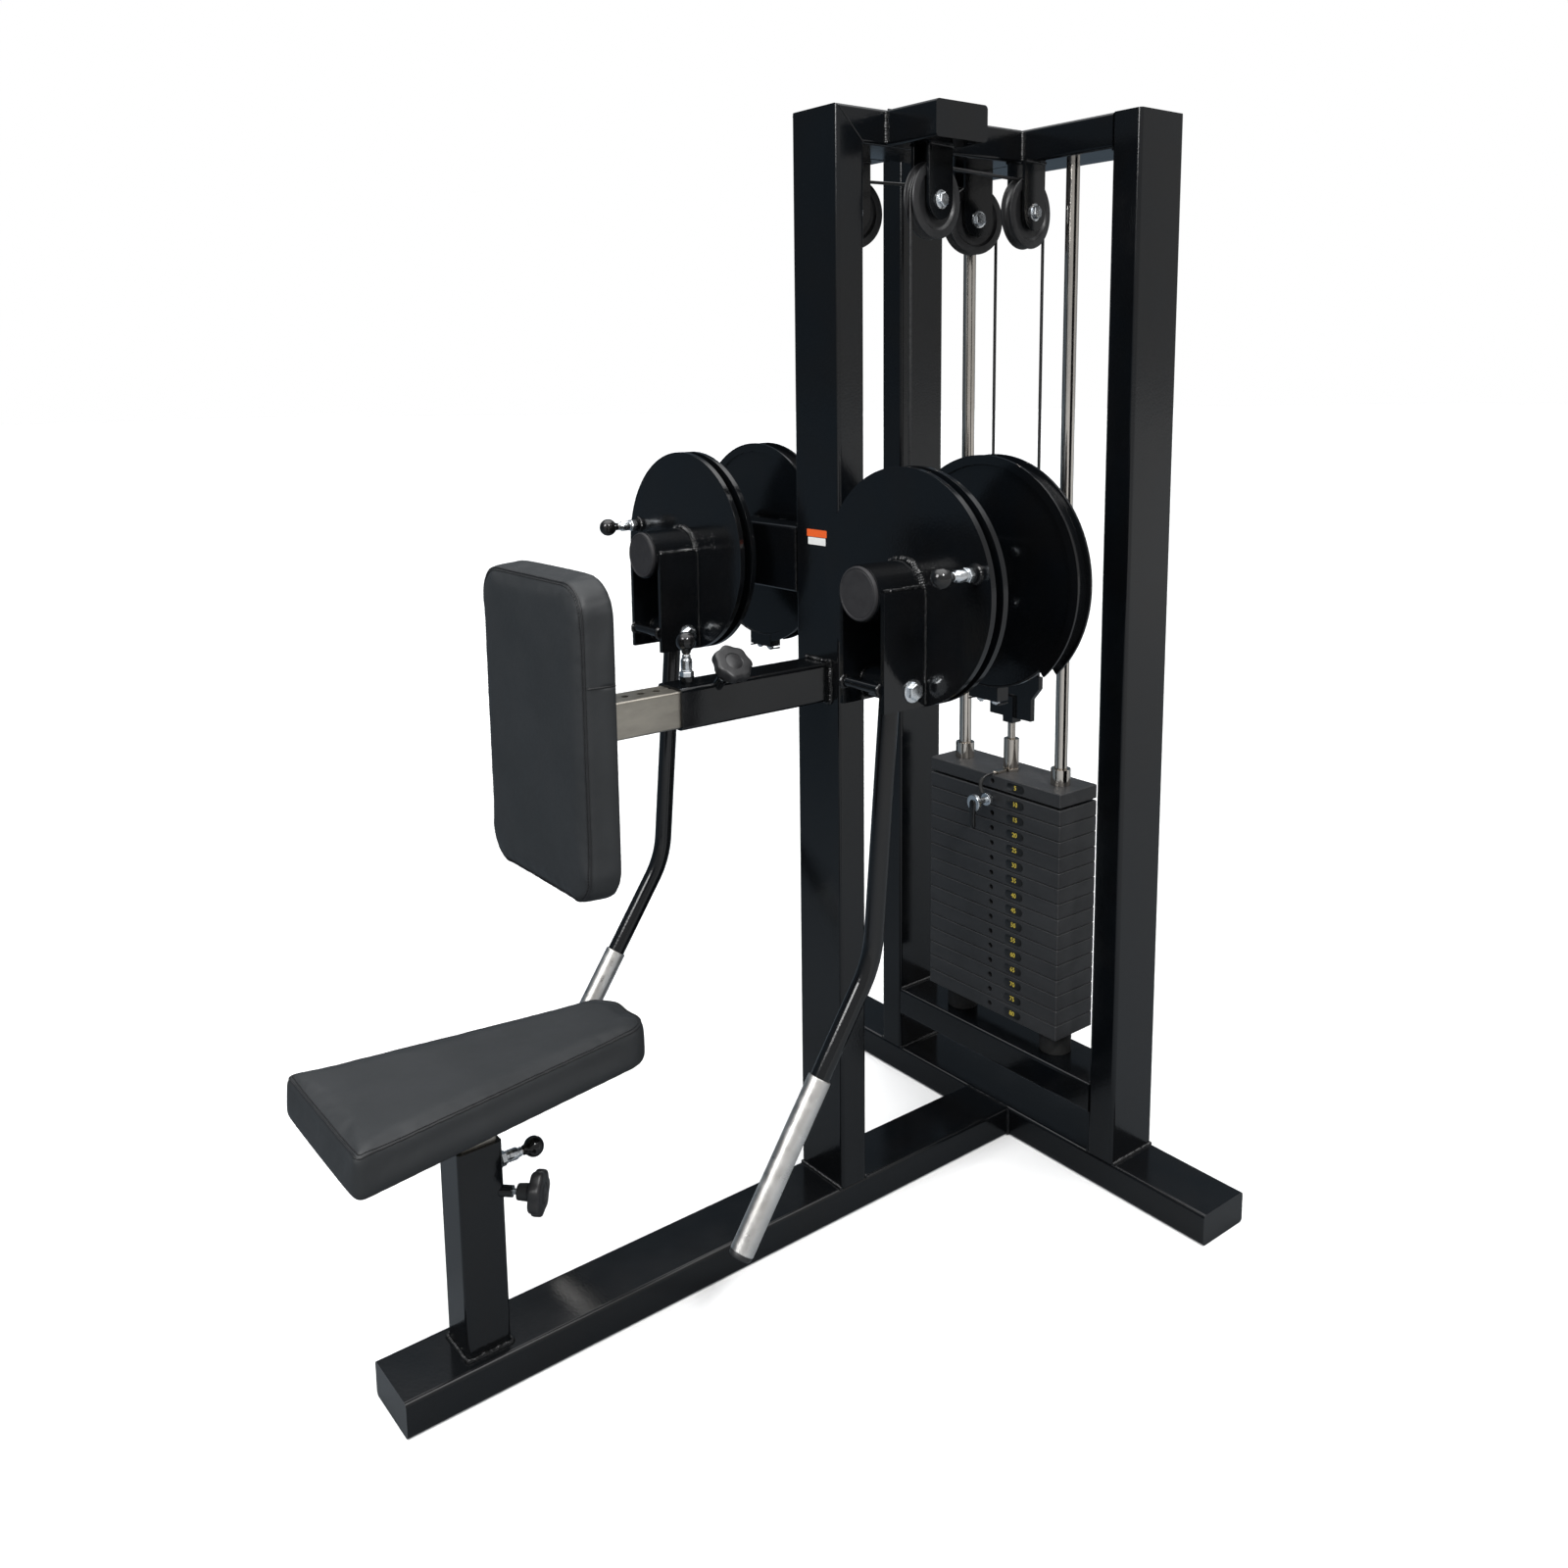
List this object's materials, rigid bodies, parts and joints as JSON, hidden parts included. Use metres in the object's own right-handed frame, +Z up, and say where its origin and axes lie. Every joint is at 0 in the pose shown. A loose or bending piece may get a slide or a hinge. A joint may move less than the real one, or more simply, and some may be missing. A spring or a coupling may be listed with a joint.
{
  "type": "lateral raise machine",
  "caption": "Seated lateral raise machine: chest pad, tapered seat, two swinging arms on cable wheels, cables over top pulleys and a pin-selected weight stack.",
  "frame": {"origin": "on the floor, in the middle of the footprint between the seat front and the back of the rear foot", "axes": "+X across the machine, towards the side with the star knobs; +Y from the seat to the weight stack; +Z up"},
  "size_m": [1.06, 1.504, 2.008],
  "materials": {
    "black_paint": "gloss powder coat",
    "weight_paint": "satin paint",
    "bright_steel": "polished",
    "zinc_steel": "bright zinc",
    "stainless": "brushed",
    "grip_steel": "fine knurl",
    "vinyl": "fine grained satin",
    "black_plastic": "satin",
    "buffer_rubber": "matt",
    "cable_jacket": "satin"
  },
  "bodies": {
    "frame": {"base_beam": "black_paint", "rear_foot": "black_paint", "front_column": "black_paint", "rear_column_left": "black_paint", "rear_column_right": "black_paint", "top_beam": "black_paint", "top_rear_beam": "black_paint", "pulley_beams": "black_paint", "stack_rail": "black_paint", "pivot_beams": "black_paint", "seat_sleeve": "black_paint", "pad_sleeve": "black_paint", "bearing_left": "black_paint", "bearing_right": "black_paint", "guide_rod_left": "bright_steel", "guide_rod_right": "bright_steel", "stack_bumpers": "buffer_rubber", "pulley_brackets": "black_paint", "frame_bolts": "zinc_steel", "cable_runs": "cable_jacket", "cable_drops": "cable_jacket", "weight_plates": "weight_paint", "plunger_barrels": "bright_steel"},
    "carriage": {"head_plate": "weight_paint", "plate_10": "weight_paint", "selector_stem": "bright_steel", "carriage_collars": "bright_steel", "yoke": "black_paint", "lanyard": "cable_jacket"},
    "selector": {"selector_pin": "bright_steel"},
    "seat": {"seat_post": "stainless", "seat_cushion": "vinyl"},
    "chest_pad": {"pad_post": "stainless", "pad_cushion": "vinyl"},
    "seat_lock": {"seat_plunger": "black_plastic"},
    "pad_lock": {"pad_plunger": "black_plastic"},
    "seat_clamp": {"seat_knob": "black_plastic"},
    "pad_clamp": {"pad_knob": "black_plastic"},
    "cam_left": {"cam_wheel_left": "black_paint", "index_shaft_left": "black_paint", "clamp_bolts_left": "zinc_steel"},
    "arm_left": {"arm_hub_left": "black_paint", "hub_trim_left": "black_plastic", "hinge_bolt_left": "zinc_steel"},
    "handle_left": {"arm_tube_left": "black_paint", "grip_left": "grip_steel"},
    "arm_lock_left": {"arm_plunger_left": "black_plastic"},
    "front_sheave_left": {"front_pulley_left": "black_plastic"},
    "back_sheave_left": {"back_pulley_left": "black_plastic"},
    "cam_right": {"cam_wheel_right": "black_paint", "index_shaft_right": "black_paint", "clamp_bolts_right": "zinc_steel"},
    "arm_right": {"arm_hub_right": "black_paint", "hub_trim_right": "black_plastic", "hinge_bolt_right": "zinc_steel"},
    "handle_right": {"arm_tube_right": "black_paint", "grip_right": "grip_steel"},
    "arm_lock_right": {"arm_plunger_right": "black_plastic"},
    "front_sheave_right": {"front_pulley_right": "black_plastic"},
    "back_sheave_right": {"back_pulley_right": "black_plastic"}
  },
  "joints": [
    {"name": "stack_lift", "type": "slide", "parent": "frame", "child": "carriage", "axis": [0, 0, 1], "range_m": [0, 0.28], "deforming": ["cable_drops"]},
    {"name": "selector_pull", "type": "slide", "parent": "carriage", "child": "selector", "axis": [0, -1, 0], "range_m": [0, 0.11]},
    {"name": "seat_height", "type": "slide", "parent": "frame", "child": "seat", "axis": [0, 0, 1], "range_m": [-0.03, 0.12]},
    {"name": "pad_reach", "type": "slide", "parent": "frame", "child": "chest_pad", "axis": [0, 1, 0], "range_m": [-0.09, 0.12]},
    {"name": "seat_plunger_pull", "type": "slide", "parent": "frame", "child": "seat_lock", "axis": [0, 1, 0], "range_m": [0, 0.012], "stiffness_N_per_m": 1200},
    {"name": "pad_plunger_pull", "type": "slide", "parent": "frame", "child": "pad_lock", "axis": [0, 0, 1], "range_m": [0, 0.012], "stiffness_N_per_m": 1200},
    {"name": "seat_knob_turn", "type": "hinge", "parent": "frame", "child": "seat_clamp", "pos_m": [0.037, -0.483, 0.318], "axis": [0.7071, 0.7071, 0], "range_deg": [-180, 180]},
    {"name": "pad_knob_turn", "type": "hinge", "parent": "frame", "child": "pad_clamp", "pos_m": [0.035, -0.058, 1.057], "axis": [0.7071, 0, 0.7071], "range_deg": [-180, 180]},
    {"name": "cam_left_turn", "type": "hinge", "parent": "frame", "child": "cam_left", "pos_m": [-0.305, 0.2, 1.231], "axis": [0, 1, 0], "range_deg": [0, 84.45]},
    {"name": "arm_left_start", "type": "hinge", "parent": "cam_left", "child": "arm_left", "pos_m": [-0.305, 0.1, 1.231], "axis": [0, 1, 0], "range_deg": [-5, 45]},
    {"name": "handle_left_swing", "type": "hinge", "parent": "arm_left", "child": "handle_left", "pos_m": [-0.305, 0.076, 1.08], "axis": [-1, 0, 0], "range_deg": [0, 50]},
    {"name": "arm_left_plunger_pull", "type": "slide", "parent": "arm_left", "child": "arm_lock_left", "axis": [0, -1, 0], "range_m": [0, 0.012], "stiffness_N_per_m": 1200},
    {"name": "front_sheave_left_spin", "type": "hinge", "parent": "frame", "child": "front_sheave_left", "pos_m": [-0.107, 0.35445, 1.85], "axis": [0.9904, -0.1379, 0], "range_deg": [0, 276.61]},
    {"name": "back_sheave_left_spin", "type": "hinge", "parent": "frame", "child": "back_sheave_left", "pos_m": [-0.068, 0.63455, 1.85], "axis": [0.9904, -0.1379, 0], "range_deg": [0, 276.61]},
    {"name": "cam_right_turn", "type": "hinge", "parent": "frame", "child": "cam_right", "pos_m": [0.305, 0.2, 1.231], "axis": [0, -1, 0], "range_deg": [0, 84.45]},
    {"name": "arm_right_start", "type": "hinge", "parent": "cam_right", "child": "arm_right", "pos_m": [0.305, 0.1, 1.231], "axis": [0, -1, 0], "range_deg": [-5, 45]},
    {"name": "handle_right_swing", "type": "hinge", "parent": "arm_right", "child": "handle_right", "pos_m": [0.305, 0.076, 1.08], "axis": [-1, 0, 0], "range_deg": [0, 50]},
    {"name": "arm_right_plunger_pull", "type": "slide", "parent": "arm_right", "child": "arm_lock_right", "axis": [0, -1, 0], "range_m": [0, 0.012], "stiffness_N_per_m": 1200},
    {"name": "front_sheave_right_spin", "type": "hinge", "parent": "frame", "child": "front_sheave_right", "pos_m": [0.107, 0.35445, 1.85], "axis": [0.9904, 0.1379, 0], "range_deg": [0, 276.61]},
    {"name": "back_sheave_right_spin", "type": "hinge", "parent": "frame", "child": "back_sheave_right", "pos_m": [0.068, 0.63455, 1.85], "axis": [0.9904, 0.1379, 0], "range_deg": [0, 276.61]}
  ],
  "couplings": [
    {"joint": "cam_left_turn", "follows": "stack_lift", "rad_per_m": 5.2632},
    {"joint": "front_sheave_left_spin", "follows": "stack_lift", "rad_per_m": 17.241},
    {"joint": "back_sheave_left_spin", "follows": "stack_lift", "rad_per_m": 17.241},
    {"joint": "cam_right_turn", "follows": "stack_lift", "rad_per_m": 5.2632},
    {"joint": "front_sheave_right_spin", "follows": "stack_lift", "rad_per_m": 17.241},
    {"joint": "back_sheave_right_spin", "follows": "stack_lift", "rad_per_m": 17.241}
  ]
}
